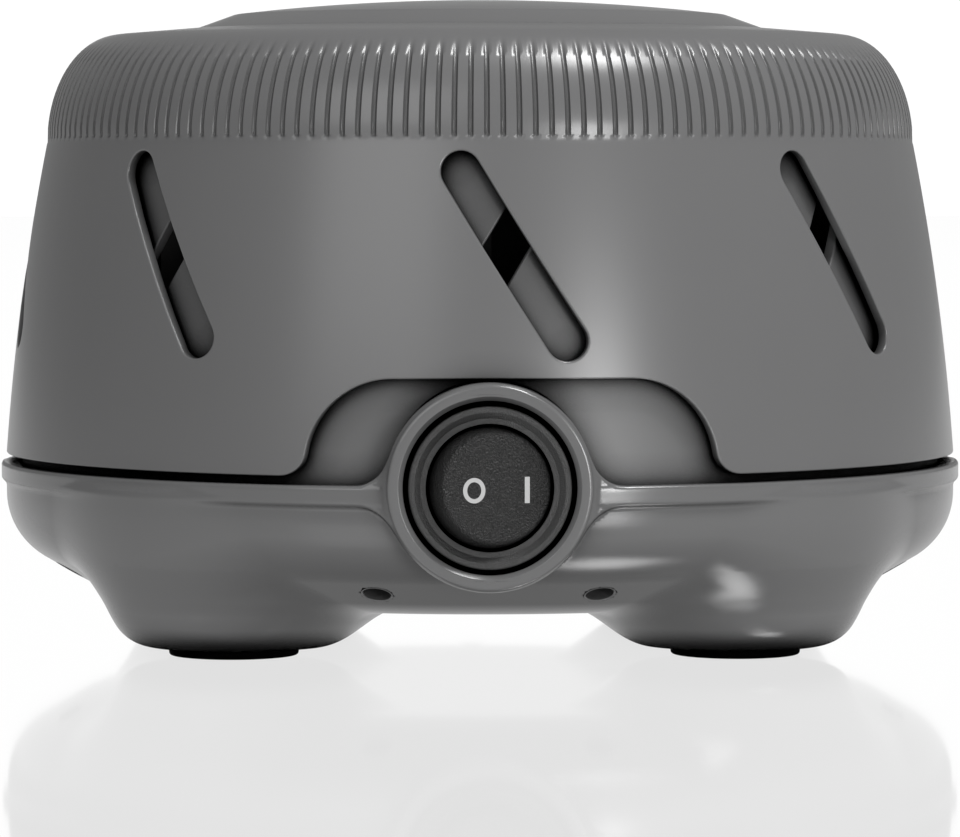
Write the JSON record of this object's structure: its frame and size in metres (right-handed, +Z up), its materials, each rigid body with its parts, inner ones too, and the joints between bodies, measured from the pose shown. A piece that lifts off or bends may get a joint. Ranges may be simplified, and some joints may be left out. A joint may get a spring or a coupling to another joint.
{
  "type": "white noise sound machine",
  "caption": "Round fan-type sound machine: a slotted cap twists over a slotted inner shell above a motor and fan, with a round rocker switch in the base.",
  "frame": {"origin": "centre of the footprint, on the surface that the foot pads stand on", "axes": "+Z up along the cap's twist axis and the motor shaft, -Y towards the switch, +X to the right seen from the switch side"},
  "size_m": [0.146, 0.151, 0.0966],
  "materials": {
    "cap_plastic": "satin",
    "base_plastic": "satin",
    "shell_plastic": "matte",
    "switch_plastic": "fine grain",
    "pad_rubber": "matte",
    "gland_rubber": "matte",
    "zinc_steel": "zinc plated",
    "lamination_steel": "oiled",
    "bronze": "sintered",
    "copper": "bare",
    "nylon": "natural",
    "fan_plastic": "natural",
    "lead_plastic": "insulation",
    "rotor_alloy": "cast"
  },
  "bodies": {
    "base": {"base_housing": "base_plastic", "foot_pad_front_right": "pad_rubber", "foot_pad_front_left": "pad_rubber", "foot_pad_rear_right": "pad_rubber", "foot_pad_rear_left": "pad_rubber", "housing_screws": "zinc_steel", "inner_shell": "shell_plastic", "pivot_washer": "zinc_steel", "pivot_screw": "zinc_steel", "cord_gland": "gland_rubber", "switch_body": "switch_plastic", "switch_terminals": "bronze", "motor_plate": "zinc_steel", "plate_grommets": "pad_rubber", "plate_screws": "zinc_steel", "stator_core": "lamination_steel", "shading_rings": "copper", "coil_bobbin": "nylon", "coil_winding": "copper", "upper_bracket": "zinc_steel", "lower_bracket": "zinc_steel", "upper_bearing": "bronze", "lower_bearing": "bronze", "motor_spacers": "zinc_steel", "motor_screws": "zinc_steel", "motor_nuts": "zinc_steel", "coil_lead_to_switch": "lead_plastic", "coil_lead_to_splice": "lead_plastic", "switch_lead_to_splice": "lead_plastic", "splice_caps": "nylon"},
    "cap": {"outer_cap": "cap_plastic", "cap_crown": "cap_plastic"},
    "rotor": {"rotor_core": "rotor_alloy", "motor_shaft": "zinc_steel", "thrust_washers": "nylon", "fan": "fan_plastic", "fan_clip": "zinc_steel"},
    "rocker": {"rocker": "switch_plastic"}
  },
  "joints": [
    {"name": "cap_twist", "type": "hinge", "parent": "base", "child": "cap", "pos_m": [0, 0, 0.06], "axis": [0, 0, 1], "range_deg": [-14.25, 8.75]},
    {"name": "fan_spin", "type": "hinge", "parent": "base", "child": "rotor", "pos_m": [0, 0, 0.033], "axis": [0, 0, 1], "continuous": true},
    {"name": "rocker_tilt", "type": "hinge", "parent": "base", "child": "rocker", "pos_m": [0, -0.069, 0.0266], "axis": [0, 0, -1], "range_deg": [0, 24]}
  ]
}
